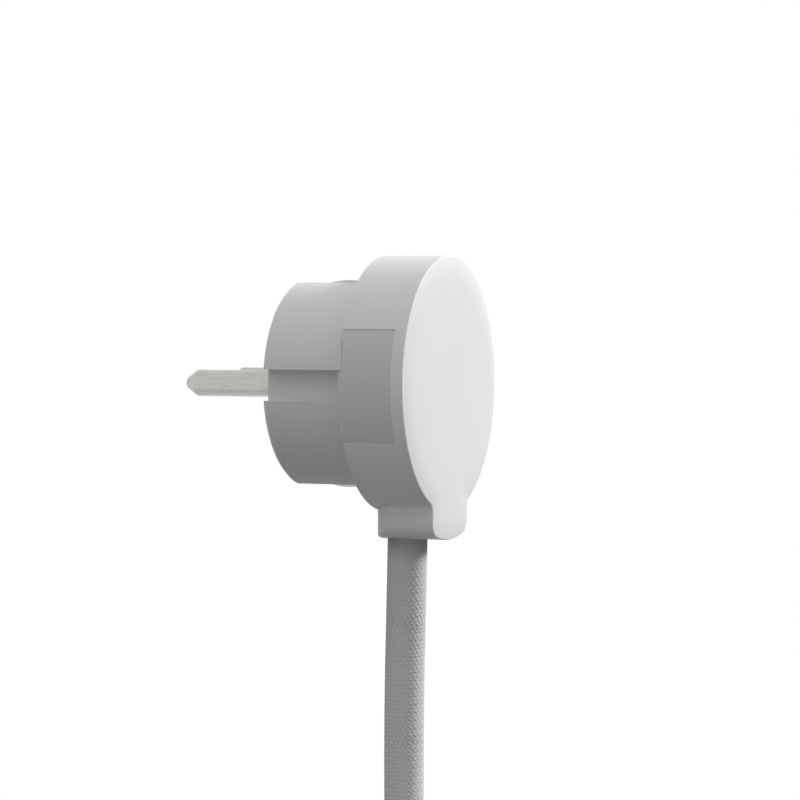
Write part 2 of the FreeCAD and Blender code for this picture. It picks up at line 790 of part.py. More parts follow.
tie = new_body("hank_tie")
ring = new_sketch(tie, "XY_Plane", "tie_outline", hank_z)
waist_back = hank_y + cord_r
waist_front = hank_y - pitch * 4 - cord_r
thick = at.tie_thickness
box_path(ring, "inside", -waist, waist, waist_front, waist_back)
path(
    ring,
    "outside",
    [
        (-waist, waist_front - thick),
        (waist, waist_front - thick),
        (waist + thick, waist_front),
        (waist + thick, waist_back),
        (waist, waist_back + thick),
        (-waist, waist_back + thick),
        (-waist - thick, waist_back),
        (-waist - thick, waist_front),
    ],
    {1: (thick, 1), 3: (thick, 1), 5: (thick, 1), 7: (thick, 1)},
)
extrude(tie, "Pad", "band", ring, at.tie_height, both_ways=True)


# Free end: straight tail, sleeve, three splayed cores with ferrules
tail_y = hank_y - pitch * 4 - at.tail_sleeve_wall
tail_end = waist_low - at.tail_length
tail = bar("cord_tail", cord_r, tail_end, waist_low, NIL, tail_y)
cuff = new_body("tail_sleeve")
cuff_rings = new_sketch(cuff, "XY_Plane", "tail_sleeve_outline", tail_end)
round_path(cuff_rings, "outer", (NIL, tail_y), cord_r + at.tail_sleeve_wall)
round_path(cuff_rings, "inner", (NIL, tail_y), cord_r)
extrude(cuff, "Pad", "cuff", cuff_rings, at.tail_sleeve_length)


def free_core(label, heading, side):
    """A core that leaves the tail straight and then leans to one side or hangs plumb, with its ferrule."""
    lean = math.radians(at.tail_core_splay.number) * side
    place = FreeCAD.Vector(math.cos(heading), math.sin(heading), 0) * at.core_circle.number
    start = spot(NIL, tail_y, tail_end) + place
    knee = start - FreeCAD.Vector(0, 0, at.tail_core_run.number)
    along = FreeCAD.Vector(math.sin(lean), 0, -math.cos(lean))
    end = knee + along * at.tail_core_length.number
    core = tube(label + "_tail", [start, knee, end] if side else [start, end], at.core_dia / 2)
    ferrule = doc.addObject("Part::Cylinder", label + "_ferrule")
    ferrule.Label = label + "_ferrule"
    bind(ferrule, "Radius", at.wire_dia / 2 + at.ferrule_wall)
    bind(ferrule, "Height", at.ferrule_length)
    ferrule.Placement = FreeCAD.Placement(end, FreeCAD.Rotation(FreeCAD.Vector(0, 0, 1), along))
    return [core, ferrule]


free_ends = []
for label, degrees, side in (("line", 210, -1), ("neutral", 330, 1), ("earth", 90, 0)):
    free_ends += free_core(label, math.radians(degrees), side)

doc.recompute()

# Every piece is sound before it is written
pieces = [cover, base, line_pin, neutral_pin, strip, sleeve, clamp, screws, jacket, line_wire, neutral_wire]
pieces += [earth_wire, line_core, neutral_core, earth_core, supply, hank, tie, tail, cuff] + free_ends
for item in doc.Objects:
    if "Invalid" in item.State or "Error" in item.State:
        raise RuntimeError("%s: %s" % (item.Label, item.State))
os.makedirs("parts", exist_ok=True)
for item in pieces:
    if item.Shape.isNull() or not item.Shape.isValid():
        raise RuntimeError("bad shape: " + item.Label)
    item.Shape.exportStep("parts/%s.step" % item.Label)
    box = item.Shape.optimalBoundingBox()
    print("%-14s solids %d volume %9.1f  x %7.2f %7.2f  y %7.2f %7.2f  z %8.2f %8.2f" % (
        item.Label, len(item.Shape.Solids), item.Shape.Volume, box.XMin, box.XMax, box.YMin, box.YMax,
        box.ZMin, box.ZMax))
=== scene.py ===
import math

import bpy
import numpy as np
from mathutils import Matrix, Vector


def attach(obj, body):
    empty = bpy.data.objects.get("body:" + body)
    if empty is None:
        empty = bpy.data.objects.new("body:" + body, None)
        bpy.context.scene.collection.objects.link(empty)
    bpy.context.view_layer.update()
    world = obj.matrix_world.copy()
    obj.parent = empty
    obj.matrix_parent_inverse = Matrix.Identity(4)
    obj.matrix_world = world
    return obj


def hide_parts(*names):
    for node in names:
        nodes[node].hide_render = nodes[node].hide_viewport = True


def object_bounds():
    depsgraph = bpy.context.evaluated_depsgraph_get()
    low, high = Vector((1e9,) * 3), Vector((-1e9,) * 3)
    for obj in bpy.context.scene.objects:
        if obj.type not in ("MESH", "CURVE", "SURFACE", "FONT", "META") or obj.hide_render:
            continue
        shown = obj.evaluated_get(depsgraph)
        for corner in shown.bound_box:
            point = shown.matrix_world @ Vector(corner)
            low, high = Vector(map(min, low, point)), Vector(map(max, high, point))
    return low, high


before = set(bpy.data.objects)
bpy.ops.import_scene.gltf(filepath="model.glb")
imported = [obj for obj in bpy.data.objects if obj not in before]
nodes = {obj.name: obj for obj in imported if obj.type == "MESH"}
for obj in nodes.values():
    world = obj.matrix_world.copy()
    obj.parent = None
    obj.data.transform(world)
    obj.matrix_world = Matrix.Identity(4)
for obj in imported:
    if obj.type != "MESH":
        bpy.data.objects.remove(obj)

# %% [markdown]
# # Flat low profile plug with a textile cord
# This lesson dresses a finished CAD model of a plug for a picture. The model is loaded above as a fixed
# frame in metres: X to the right, Z up and Y along the pins, with the origin in the middle of the
# engagement face. Its box is kept here, and the floor is placed just below it.

cad_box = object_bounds()
scene = bpy.context.scene
scene.view_settings.view_transform = "Standard"
MM = 0.001


def mm(*values):
    """Lengths in millimetres as a vector in metres."""
    return Vector([value * MM for value in values])


print("CAD box", [[round(v, 4) for v in corner] for corner in cad_box])

# %% [markdown]
# ## Camera
# The picture is taken from far to the left of the plug and a little above it, with a long lens, so the
# round front is a narrow ellipse and upright edges stay upright. A camera could be placed by eye, but
# here its place, aim and lens were worked out once from sizes of the plug that are known.

# %% camera
camera_place = Vector((-0.52767, -0.23269, 0.01638))
camera_aim = Vector((0.00648, -0.0163, -0.00321))
camera_data = bpy.data.cameras.new("camera")
camera_data.lens = 142.2
camera_data.sensor_width = 36
camera = bpy.data.objects.new("camera", camera_data)
camera.location = camera_place
camera.rotation_euler = (camera_aim - camera_place).to_track_quat("-Z", "Y").to_euler()
scene.collection.objects.link(camera)
scene.camera = camera
print("camera distance %.3f m" % (camera_aim - camera_place).length)

# %% [markdown]
# ## Route of the cord
# A lead of 1.8 m leaves the tongue straight down. Only its first 50 mm are in the picture. The rest is
# put away below as a hank: four turns that each loop below and above a waist, where a tie holds them
# together, one layer in front of the other. One NURBS spline goes through the whole lead, so every bend
# is smooth, and its control points are listed below. They are in millimetres.

# %% control points
WAIST_Z = -172.6
HALF_WAIST = 3.65
LAYER = 7.3
FIRST_LAYER = -21.8
LOOP = [(5.2, 20.6), (14.4, 38.1), (22.8, 58.6), (19.8, 74.6), (7.8, 84.5),
        (-7.8, 84.5), (-19.8, 74.6), (-22.8, 58.6), (-14.4, 38.1), (-5.2, 20.6)]
LAYER_SHARES = [0.15, 0.5, 0.85, 1, 1, 1, 1, 1, 1, 1]
TURN_SIZES = [(1.0, 0.99), (0.985, 1.0), (0.995, 0.98), (0.98, 0.99)]
TAIL_Y = -51.5
TAIL_END = -232.1

route = [(0, -20.5, -22.7), (0, -20.3, -34), (0, -19.6, -62), (0, -19.9, WAIST_Z + 75),
         (-1.5, -20.9, WAIST_Z + 45), (-HALF_WAIST, FIRST_LAYER, WAIST_Z + 22)]
for turn, (low_size, high_size) in enumerate(TURN_SIZES):
    y = FIRST_LAYER - LAYER * turn
    route.append((-HALF_WAIST, y, WAIST_Z))
    route += [(-x, y, WAIST_Z - z * low_size) for x, z in LOOP]
    route.append((HALF_WAIST, y, WAIST_Z))
    route += [(x, y - LAYER * share, WAIST_Z + z * high_size) for (x, z), share in zip(LOOP, LAYER_SHARES)]
last_y = FIRST_LAYER - LAYER * len(TURN_SIZES)
route += [(-HALF_WAIST, last_y, WAIST_Z), (-2, TAIL_Y + 0.2, WAIST_Z - 22), (0, TAIL_Y, WAIST_Z - 40),
          (0, TAIL_Y, TAIL_END)]
print("cord route: %d control points" % len(route))

# %% [markdown]
# The points become a NURBS curve, as with Add, Curve, NURBS Curve by hand. Turned into a mesh, the curve
# gives a fine chain of points that the braid follows. After that it isn't needed and is removed.

# %% line of the cord
line_data = bpy.data.curves.new("cord_line", "CURVE")
line_data.dimensions = "3D"
spline = line_data.splines.new("NURBS")
spline.points.add(len(route) - 1)
for point, place in zip(spline.points, route):
    point.co = (*mm(*place), 1)
spline.order_u = 3
spline.use_endpoint_u = True
spline.resolution_u = 24
line = bpy.data.objects.new("cord_line", line_data)
scene.collection.objects.link(line)
traced = bpy.data.meshes.new_from_object(line)
line_points = np.array([vertex.co for vertex in traced.vertices])
bpy.data.objects.remove(line)
along = np.concatenate([[0], np.cumsum(np.linalg.norm(np.diff(line_points, axis=0), axis=1))])
print("cord line: %.3f m long" % along[-1])

# %% [markdown]
# ## Braid
# The cord's skin is a braid: flat yarns wind round it one way and as many the other way, and each passes
# over two and under two of those that cross it. A plain tube with a bump would do from afar. Near the
# plug, where the cord is in the picture, the yarns are real relief on closely spaced rings of points,
# so light that grazes the cord catches them. Further down the rings are plainer and stand wider apart.

# %% places of the rings
FINE_LENGTH = 56 * MM
FINE_STEP = 0.145 * MM
COARSE_STEP = 2.6 * MM

coarse_count = int((along[-1] - FINE_LENGTH) / COARSE_STEP)
fine_steps = np.arange(0, FINE_LENGTH, FINE_STEP)
steps = np.concatenate([fine_steps, np.linspace(FINE_LENGTH, along[-1], coarse_count)])
centres = np.stack([np.interp(steps, along, line_points[:, axis]) for axis in range(3)], axis=1)
headings = np.gradient(centres, axis=0)
headings /= np.linalg.norm(headings, axis=1, keepdims=True)
print("braid: %d rings, %d of them fine" % (len(steps), len(fine_steps)))

# %% [markdown]
# Every place on the braid lies on one yarn of each set. Counting the yarns of both sets tells which of
# the two is on top there. That yarn is round across, and arched along its way over two others.

# %% height of the yarns
YARNS = 24
YARN_PITCH = 0.72 * MM
YARN_RELIEF = 0.1 * MM
FLAT_SHARE = 0.72


def yarn_height(distance, turn):
    """Relief of the braid, -1 to 1, from the way along the cord and the turn round it."""
    right = turn * YARNS + distance / YARN_PITCH
    left = turn * YARNS - distance / YARN_PITCH
    over = np.sin(math.pi / 2 * (np.floor(right) - np.floor(left)) + math.pi / 4) > 0
    across = np.where(over, right, left)
    lengthwise = np.where(over, left - np.floor(right) + 1, right - np.floor(left))
    arch = FLAT_SHARE + (1 - FLAT_SHARE) * np.abs(np.sin(math.pi / 2 * lengthwise))
    return np.sqrt(np.abs(np.sin(math.pi * across))) * arch * 2 - 1


print("braid: %d yarns each way, a lead of %.1f mm" % (YARNS, YARNS * YARN_PITCH / MM))

# %% [markdown]
# Each ring lies square to the line. Its first direction is the last ring's, turned as little as the bend
# asks for, so the braid doesn't twist along the cord.

# %% rings
SKIN_RADIUS = 3.52 * MM
FINE_POINTS = 120
COARSE_POINTS = 40
FADE_LENGTH = 3 * MM

rings = []
side = np.array([1.0, 0.0, 0.0])
for centre, heading, distance in zip(centres, headings, steps):
    side = side - heading * np.dot(side, heading)
    side = side / np.linalg.norm(side)
    up = np.cross(heading, side)
    count = FINE_POINTS if distance < FINE_LENGTH else COARSE_POINTS
    turns = np.arange(count) / count
    relief = YARN_RELIEF * np.clip((FINE_LENGTH - distance) / FADE_LENGTH, 0, 1)
    radius = SKIN_RADIUS + relief * yarn_height(distance, turns)
    angle = turns * 2 * math.pi
    rings.append(centre + np.outer(radius * np.cos(angle), side) + np.outer(radius * np.sin(angle), up))
print("braid: %d points on a fine ring, %d on a coarse one" % (len(rings[0]), len(rings[-1])))

# %% [markdown]
# Faces join each ring to the next one. Where the fine rings end, one coarse step takes up three fine
# ones. A UV map keeps the distance along the cord and the turn round it, for the braid's finish.

# %% cord mesh
first_points = np.concatenate([[0], np.cumsum([len(ring) for ring in rings])])
points = np.concatenate(rings + [centres[:1], centres[-1:]])
faces = []
face_uvs = []
for i in range(len(rings) - 1):
    count, next_count = len(rings[i]), len(rings[i + 1])
    share = count // next_count
    for j in range(next_count):
        near = [j * share + k for k in range(share + 1)]
        far_edge = [first_points[i + 1] + (j + 1) % next_count, first_points[i + 1] + j]
        faces.append([first_points[i] + k % count for k in near] + far_edge)
        face_uvs += [(steps[i], k / count) for k in near]
        face_uvs += [(steps[i + 1], (j + 1) / next_count), (steps[i + 1], j / next_count)]
for ring, tip, order in ((0, first_points[-1], -1), (len(rings) - 1, first_points[-1] + 1, 1)):
    count = len(rings[ring])
    for j in range(count):
        edge = [first_points[ring] + j, first_points[ring] + (j + 1) % count]
        faces.append(edge[::order] + [tip])
        face_uvs += [(steps[ring], 0)] * 3
cord_mesh = bpy.data.meshes.new("textile_cord")
cord_mesh.from_pydata([tuple(p) for p in points], [], [[int(k) for k in face] for face in faces])
uv_layer = cord_mesh.uv_layers.new(name="braid")
uv_layer.data.foreach_set("uv", np.array(face_uvs, np.float32).ravel())
cord_mesh.polygons.foreach_set("use_smooth", [True] * len(faces))
cord_mesh.update()
textile_cord = bpy.data.objects.new("textile_cord", cord_mesh)
scene.collection.objects.link(textile_cord)
print("cord mesh: %d faces" % len(faces))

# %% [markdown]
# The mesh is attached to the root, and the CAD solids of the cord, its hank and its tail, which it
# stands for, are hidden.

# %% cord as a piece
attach(textile_cord, "root")
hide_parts("supply_cord", "cord_hank", "cord_tail")

# %% [markdown]
# ## Cover
# The cover is one moulding: a round front that runs out into a short tongue, and a side wall. Its solid
# already has the right form, but its mesh comes face by face, so the slight crown of the front would
# show steps. It could be modelled again from a cylinder. Here a copy is joined up into one skin, which
# keeps the slots and recesses, and only its front is taken off and made again.

# %% open shell
RIM_Y = -28.6 * MM
JOIN_DISTANCE = 0.002 * MM


def choose(piece, kind, wanted):
    """Selects the corners, edges or faces that pass a test. Returns their count and stays in edit mode."""
    bpy.ops.object.mode_set(mode="EDIT")
    bpy.ops.mesh.select_mode(type=kind)
    bpy.ops.mesh.select_all(action="DESELECT")
    bpy.ops.object.mode_set(mode="OBJECT")
    items = {"VERT": piece.data.vertices, "EDGE": piece.data.edges, "FACE": piece.data.polygons}[kind]
    chosen = [item for item in items if wanted(item)]
    for item in chosen:
        item.select = True
    bpy.ops.object.mode_set(mode="EDIT")
    return len(chosen)


bpy.ops.object.select_all(action="DESELECT")
nodes["front_cover"].select_set(True)
bpy.context.view_layer.objects.active = nodes["front_cover"]
bpy.ops.object.duplicate()
cover_shell = bpy.context.object
cover_shell.name = "cover_shell"
bpy.ops.object.mode_set(mode="EDIT")
bpy.ops.mesh.select_all(action="SELECT")
bpy.ops.mesh.remove_doubles(threshold=JOIN_DISTANCE)
bpy.ops.mesh.customdata_custom_splitnormals_clear()
removed = choose(cover_shell, "FACE", lambda face: face.center.y < RIM_Y)
bpy.ops.mesh.delete(type="FACE")
print("cover shell: %d faces of the front removed" % removed)

# %% [markdown]
# The hole's rim is the only open edge, so Select Non Manifold finds it. It is extruded inward ring by
# ring, each ring a smaller copy of the one before it. The rings are close together near the rim, where
# the crown bends most, and the last one is closed with a face.

# %% rings of the front
RING_SCALES = [0.975, 0.975, 0.98, 0.98, 0.98, 0.98, 0.98, 0.97, 0.97, 0.97,
               0.96, 0.96, 0.95, 0.94, 0.92, 0.88, 0.8, 0.6, 0.3]

bpy.ops.mesh.select_mode(type="EDGE")
bpy.ops.mesh.select_non_manifold(extend=False, use_wire=False, use_multi_face=False, use_non_contiguous=False)
bpy.ops.object.mode_set(mode="OBJECT")
rim = np.array([vertex.co for vertex in cover_shell.data.vertices if vertex.select])
kept_count = len(cover_shell.data.vertices)
bpy.ops.object.mode_set(mode="EDIT")
for scale in RING_SCALES:
    bpy.ops.mesh.extrude_region_move()
    bpy.ops.transform.resize(value=(scale, 1, scale), center_override=(0, RIM_Y, 0))
bpy.ops.mesh.edge_face_add()
bpy.ops.object.mode_set(mode="OBJECT")
print("cover shell: rim of %d points, %d rings" % (len(rim), len(RING_SCALES)))

# %% [markdown]
# The new front is still flat. Each of its points now comes forward by an amount that grows with its
# distance from the rim, fast at first and then ever slower, so the crown is steepest at the rim and runs
# out into the flat front. A few turns of smoothing, in Y only, take the ridges out of the corners.

# %% crown
CROWN_DROP = 0.55 * MM
CROWN_REACH = 2.2 * MM
SMOOTH_TURNS = 8

for vertex in cover_shell.data.vertices[kept_count:]:
    gap = np.hypot(rim[:, 0] - vertex.co.x, rim[:, 2] - vertex.co.z).min()
    vertex.co.y = RIM_Y - CROWN_DROP * (1 - math.exp(-gap / CROWN_REACH))
raised = choose(cover_shell, "VERT", lambda vertex: vertex.index >= kept_count)
bpy.ops.mesh.vertices_smooth(factor=0.5, repeat=SMOOTH_TURNS, xaxis=False, yaxis=True, zaxis=False)
bpy.ops.mesh.select_all(action="SELECT")
bpy.ops.mesh.normals_make_consistent(inside=False)
print("crown: %d points raised" % raised)

# %% [markdown]
# No moulded edge is quite sharp. The rim gets a small bevel, and the bottom edge of the tongue's back a
# larger one. Both are found by place: the rim by its plane, the back by the outline that the tongue has
# seen from below, which is straight with a round corner at either end.

# %% rounded edges
RIM_ROUND = 0.2 * MM
RIM_TOLERANCE = 0.001 * MM
BACK_ROUND = 0.7 * MM
BACK_HALF_WIDTH = 3.6 * MM
BACK_CORNER = 5 * MM
BACK_CORNER_Y = -21.5 * MM
BACK_TOLERANCE = 0.02 * MM
BACK_END = -20.2 * MM
TONGUE_LOW = -24 * MM
SHARP = math.radians(40)


def on_rim(edge):
    """Whether an edge is part of the rim between the side wall and the new front."""
    corners = [cover_shell.data.vertices[k] for k in edge.vertices]
    return all(corner.index < kept_count and abs(corner.co.y - RIM_Y) < RIM_TOLERANCE for corner in corners)


def on_back(edge):
    """Whether an edge is a sharp part of the bottom edge of the tongue's back."""
    if sides[edge.key][0].angle(sides[edge.key][-1]) < SHARP:
        return False
    for place in [cover_shell.data.vertices[k].co for k in edge.vertices]:
        reach = math.hypot(max(abs(place.x) - BACK_HALF_WIDTH, 0), max(place.y - BACK_CORNER_Y, 0))
        if place.z > TONGUE_LOW or place.y < BACK_END or abs(reach - BACK_CORNER) > BACK_TOLERANCE:
            return False
    return True


rim_edges = choose(cover_shell, "EDGE", on_rim)
bpy.ops.mesh.bevel(offset=RIM_ROUND, segments=3, affect="EDGES", clamp_overlap=False)
bpy.ops.object.mode_set(mode="OBJECT")
sides = {}
for face in cover_shell.data.polygons:
    for key in face.edge_keys:
        sides.setdefault(key, []).append(face.normal.copy())
back_edges = choose(cover_shell, "EDGE", on_back)
bpy.ops.mesh.bevel(offset=BACK_ROUND, segments=4, affect="EDGES", clamp_overlap=True)
bpy.ops.object.mode_set(mode="OBJECT")
print("rounded: %d edges of the rim, %d of the tongue's back" % (rim_edges, back_edges))

# %% [markdown]
# Smooth shading by angle keeps the true edges sharp. Weighted normals then let large flat faces rule the
# shading of the small bevels beside them.

# %% cover as a piece
SMOOTH_ANGLE = math.radians(30)

bpy.ops.object.shade_smooth_by_angle(angle=SMOOTH_ANGLE)
weighted = cover_shell.modifiers.new("weighted", "WEIGHTED_NORMAL")
weighted.keep_sharp = True
bpy.ops.object.modifier_apply(modifier=weighted.name)
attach(cover_shell, "root")
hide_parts("front_cover")
print("cover shell: %d faces" % len(cover_shell.data.polygons))

# %% [markdown]
# ## Shader maths
# Every finish below is a small node tree. Trees could be wired by hand in the editor. Written as Python
# expressions they are easier to read: a Wire is one output of a node, and arithmetic on wires adds Math
# nodes. All other nodes come from its node method.

# %% wires
class Wire:
    """One output of a shader node. Arithmetic on it adds Math nodes to its tree."""

    def __init__(self, tree, socket=None):
        self.tree = tree
        self.socket = socket

    def node(self, kind, settings=None, sockets=None, out=0):
        """Adds a node of a type with its settings and the values or links of its sockets."""
        item = self.tree.nodes.new("ShaderNode" + kind)
        for name, value in (settings or {}).items():
            setattr(item, name, value)
        for key, value in (sockets or {}).items():
            if isinstance(value, Wire):
                self.tree.links.new(value.socket, item.inputs[key])
            else:
                item.inputs[key].default_value = value
        return Wire(self.tree, item.outputs[out]) if item.outputs else None

    def maths(self, operation, first, second=0.0):
        """Adds a Math node."""
        return self.node("Math", {"operation": operation}, {0: first, 1: second})

    def __add__(self, other):
        return self.maths("ADD", self, other)

    def __mul__(self, other):
        return self.maths("MULTIPLY", self, other)

    def __sub__(self, other):
        return self.maths("SUBTRACT", self, other)

    def __rsub__(self, other):
        return self.maths("SUBTRACT", other, self)

    def __truediv__(self, other):
        return self.maths("DIVIDE", self, other)

    def __rtruediv__(self, other):
        return self.maths("DIVIDE", other, self)

    __radd__ = __add__
    __rmul__ = __mul__


print("wires: ready")

# %% [markdown]
# The finishes share four patterns. Each could be set up again in every material, but as functions they
# are written once, and a finish names only the numbers that make it different.

# %% patterns
WAVE_LENGTH = 0.314


def noise(wire, place, scale, detail, roughness, distortion=0.0):
    """Cloudy noise, about 0.5 on average."""
    return wire.node("TexNoise", None, {"Vector": place, "Scale": scale, "Detail": detail,
                                        "Roughness": roughness, "Distortion": distortion})


def bands(wire, place, axis, pitch, distortion):
    """Waves that repeat along an axis. At a scale of 1 the texture's own wave is WAVE_LENGTH long."""
    return wire.node("TexWave", {"wave_type": "BANDS", "bands_direction": axis},
                     {"Vector": place, "Scale": WAVE_LENGTH / pitch, "Distortion": distortion,
                      "Detail": 1.0}, 1)


def ramp(wire, value, span, results, shape="SMOOTHSTEP"):
    """Goes from the first result to the second while a value crosses a span."""
    return wire.node("MapRange", {"interpolation_type": shape},
                     {"Value": value, "From Min": span[0], "From Max": span[1], "To Min": results[0],
                      "To Max": results[1]})


def mix_colours(wire, share, first, second):
    """A colour between two others."""
    first, second = [colour if isinstance(colour, Wire) else (*colour, 1) for colour in (first, second)]
    return wire.node("Mix", {"data_type": "RGBA", "clamp_factor": True}, {0: share, 6: first, 7: second}, 2)


print("patterns: noise, bands, ramps and mixed colours")

# %% [markdown]
# A material starts as an empty tree and ends with one Principled shader. In between, patterns read the
# place on the piece in its own coordinates, so they stay where they are when it moves.

# %% materials
def begin(name):
    """An empty material and the wire that its nodes hang on."""
    material = bpy.data.materials.new(name)
    material.use_nodes = True
    material.node_tree.nodes.clear()
    return material, Wire(material.node_tree)


def place_on_piece(wire):
    """Where on the piece a point lies, in metres."""
    return wire.node("TexCoord", None, None, "Object")


def close(wire, sockets):
    """Ends a material with one Principled shader."""
    wire.node("OutputMaterial", None, {"Surface": wire.node("BsdfPrincipled", None, sockets)})


def wear(piece, material):
    """Gives a piece or a CAD node this material and no other."""
    piece.data.materials.clear()
    piece.data.materials.append(material)


print("materials: helpers ready")

# %% [markdown]
# ## Room and light
# The room is pale, and soft light comes from all of its upper half. A strong glow from the ceiling picks
# out the top of the crown and runs down the side. Two weaker ones from the left, one from behind and one
# from below, keep the shade open. Lamps could do this too, but a glow in the world has no edge. Where the
# camera or a shiny surface looks past the plug, the world is plain white.

# %% world
CEILING_GLOW = 0.90
BACK_GLOW = 0.16
LOW_GLOW = 0.25

world = bpy.data.worlds.new("room")
world.use_nodes = True
scene.world = world
world.node_tree.nodes.clear()
sky = Wire(world.node_tree)
look = sky.node("TexCoord", None, None, "Generated")


def glow(toward):
    """Light from one half of the room, strongest in one direction."""
    facing = sky.node("VectorMath", {"operation": "DOT_PRODUCT"}, {0: look, 1: toward}, "Value")
    return sky.maths("MAXIMUM", facing, 0.0)


strength = glow((0, 0, 1)) * CEILING_GLOW
strength = strength + glow((-0.61, 0.61, 0.5)) * BACK_GLOW
strength = strength + glow((-0.75, -0.43, -0.5)) * LOW_GLOW
fill = sky.node("Background", None, {"Color": (1, 1, 1, 1), "Strength": strength})
white = sky.node("Background", None, {"Color": (1, 1, 1, 1), "Strength": 1.0})
seen = sky.node("LightPath", None, None, "Is Camera Ray")
for ray in ("Is Glossy Ray", "Is Transmission Ray"):
    seen = sky.maths("MAXIMUM", seen, sky.node("LightPath", None, None, ray))
backdrop = sky.node("MixShader", None, {0: seen, 1: fill, 2: white})
sky.node("OutputWorld", None, {"Surface": backdrop})
print("world: %d nodes" % len(world.node_tree.nodes))

# %% [markdown]
# One round soft lamp stands to the right, in front and above. It makes the front bright and leaves the
# left side, which the camera sees, in shade. On the cord it draws a narrow lit edge.

# %% key lamp
key_place = Vector((0.69, -0.82, 0.55))
key_aim = Vector((0, -0.02, -0.02))
key_data = bpy.data.lights.new("key", "AREA")
key_data.shape = "DISK"
key_data.size = 0.3
key_data.energy = 13.1
key = bpy.data.objects.new("key", key_data)
key.location = key_place
key.rotation_euler = (key_aim - key_place).to_track_quat("-Z", "Y").to_euler()
scene.collection.objects.link(key)
print("key lamp %.2f m away" % key_place.length)

# %% [markdown]
# ## Floor
# The floor is only there for the shadow below the hank. It fades out toward its rim, so it runs into
# the white all round, and it throws no light back up at the plug. The fade goes by the distance from the
# origin, which lies about 0.27 m above the floor.

# %% floor
FLOOR_RADIUS = 0.35
FLOOR_Y = -0.03
FADE_START = 0.30
FADE_END = 0.43

floor_z = cad_box[0][2] - MM
bpy.ops.object.select_all(action="DESELECT")
bpy.ops.mesh.primitive_circle_add(vertices=96, radius=FLOOR_RADIUS, fill_type="TRIFAN",
                                  location=(0, FLOOR_Y, floor_z))
bpy.ops.object.transform_apply(location=True, rotation=True, scale=True)
floor = bpy.context.object
floor.name = "floor"
floor.visible_diffuse = False
floor_paint, wire = begin("floor_paint")
far_out = wire.node("VectorMath", {"operation": "LENGTH"}, {0: place_on_piece(wire)}, "Value")
fade = ramp(wire, far_out, (FADE_START, FADE_END), (1.0, 0.0))
close(wire, {"Base Color": (0.8, 0.8, 0.8, 1), "Roughness": 0.9, "Alpha": fade})
wear(floor, floor_paint)
print("floor at %.3f m" % floor_z)

# %% [markdown]
# ## Cover and base plastic
# The housing is matt moulded plastic with an even fine grain from the mould. A picture of a grain would
# need a UV map and could show seams. Noise needs neither, and here it makes a bump and small changes of
# roughness. A second, slow noise shifts the tone a little, and faint handling marks lie on top. The two
# fields at the sides, where a thumb and a finger pull, have a coarser grain and a greyer tone. They are
# found by their place on the cover, in Object coordinates.

# %% grip fields
GRIP_HALF_HEIGHT = 10 * MM
GRIP_FRONT = -26.4 * MM
GRIP_INNER = 20 * MM
GRIP_TONE = (0.62, 0.62, 0.62)


def grip_field(wire, place):
    """1 inside the two grip fields on the sides of the cover, 0 elsewhere."""
    x, y, z = [wire.node("SeparateXYZ", None, {0: place}, axis) for axis in "XYZ"]
    high = wire.maths("LESS_THAN", wire.maths("ABSOLUTE", z), GRIP_HALF_HEIGHT)
    outer = wire.maths("GREATER_THAN", wire.maths("ABSOLUTE", x), GRIP_INNER)
    behind = wire.maths("GREATER_THAN", y, GRIP_FRONT)
    return high * outer * behind


print("grip fields: %.0f mm high" % (2 * GRIP_HALF_HEIGHT / MM))

# %% plastic
def plastic(name, light, dark, grain_size, grip=None):
    """Matt moulded plastic: fine grain, slow change of tone, faint marks and, if given, grip fields."""
    material, wire = begin(name)
    place = place_on_piece(wire)
    grain = noise(wire, place, scale=1 / grain_size, detail=3.0, roughness=0.6)
    tone = noise(wire, place, scale=60.0, detail=3.0, roughness=0.5)
    cloud = noise(wire, place, scale=420.0, detail=4.0, roughness=0.65, distortion=1.5)
    mark = ramp(wire, cloud, (0.66, 0.78), (0.0, 1.0))
    relief = grain
    colour = mix_colours(wire, tone * 0.5 + mark * 0.12, light, dark)
    if grip:
        field = grip(wire, place)
        coarse = noise(wire, place, scale=0.55 / grain_size, detail=2.0, roughness=0.5)
        relief = grain + field * coarse * 1.5
        colour = mix_colours(wire, field * 0.8, colour, GRIP_TONE)
    rough = grain * 0.14 + mark * -0.08 + 0.46
    bump = wire.node("Bump", None, {"Strength": 0.35, "Distance": 0.03 * MM, "Height": relief})
    close(wire, {"Base Color": colour, "Roughness": rough, "Normal": bump, "IOR": 1.5,
                 "Specular IOR Level": 0.35})
    return material


cover_plastic = plastic("cover_plastic", (0.80, 0.80, 0.80), (0.72, 0.72, 0.72), 0.22 * MM, grip_field)
base_plastic = plastic("base_plastic", (0.76, 0.76, 0.757), (0.69, 0.69, 0.685), 0.28 * MM)
wear(cover_shell, cover_plastic)
for name in ("contact_base", "cord_clamp"):
    wear(nodes[name], base_plastic)
print("plastic on cover, base and clamp")

# %% [markdown]
# ## Contacts
# Pins, earth strip and sleeve are nickel plated brass. Turning leaves fine rings round the pins, and use
# draws hairlines along them. Real grooves would take far too many faces. So the bump has bands along Y
# and a noise that is stretched along Y, and the same hairlines darken the plate a little.

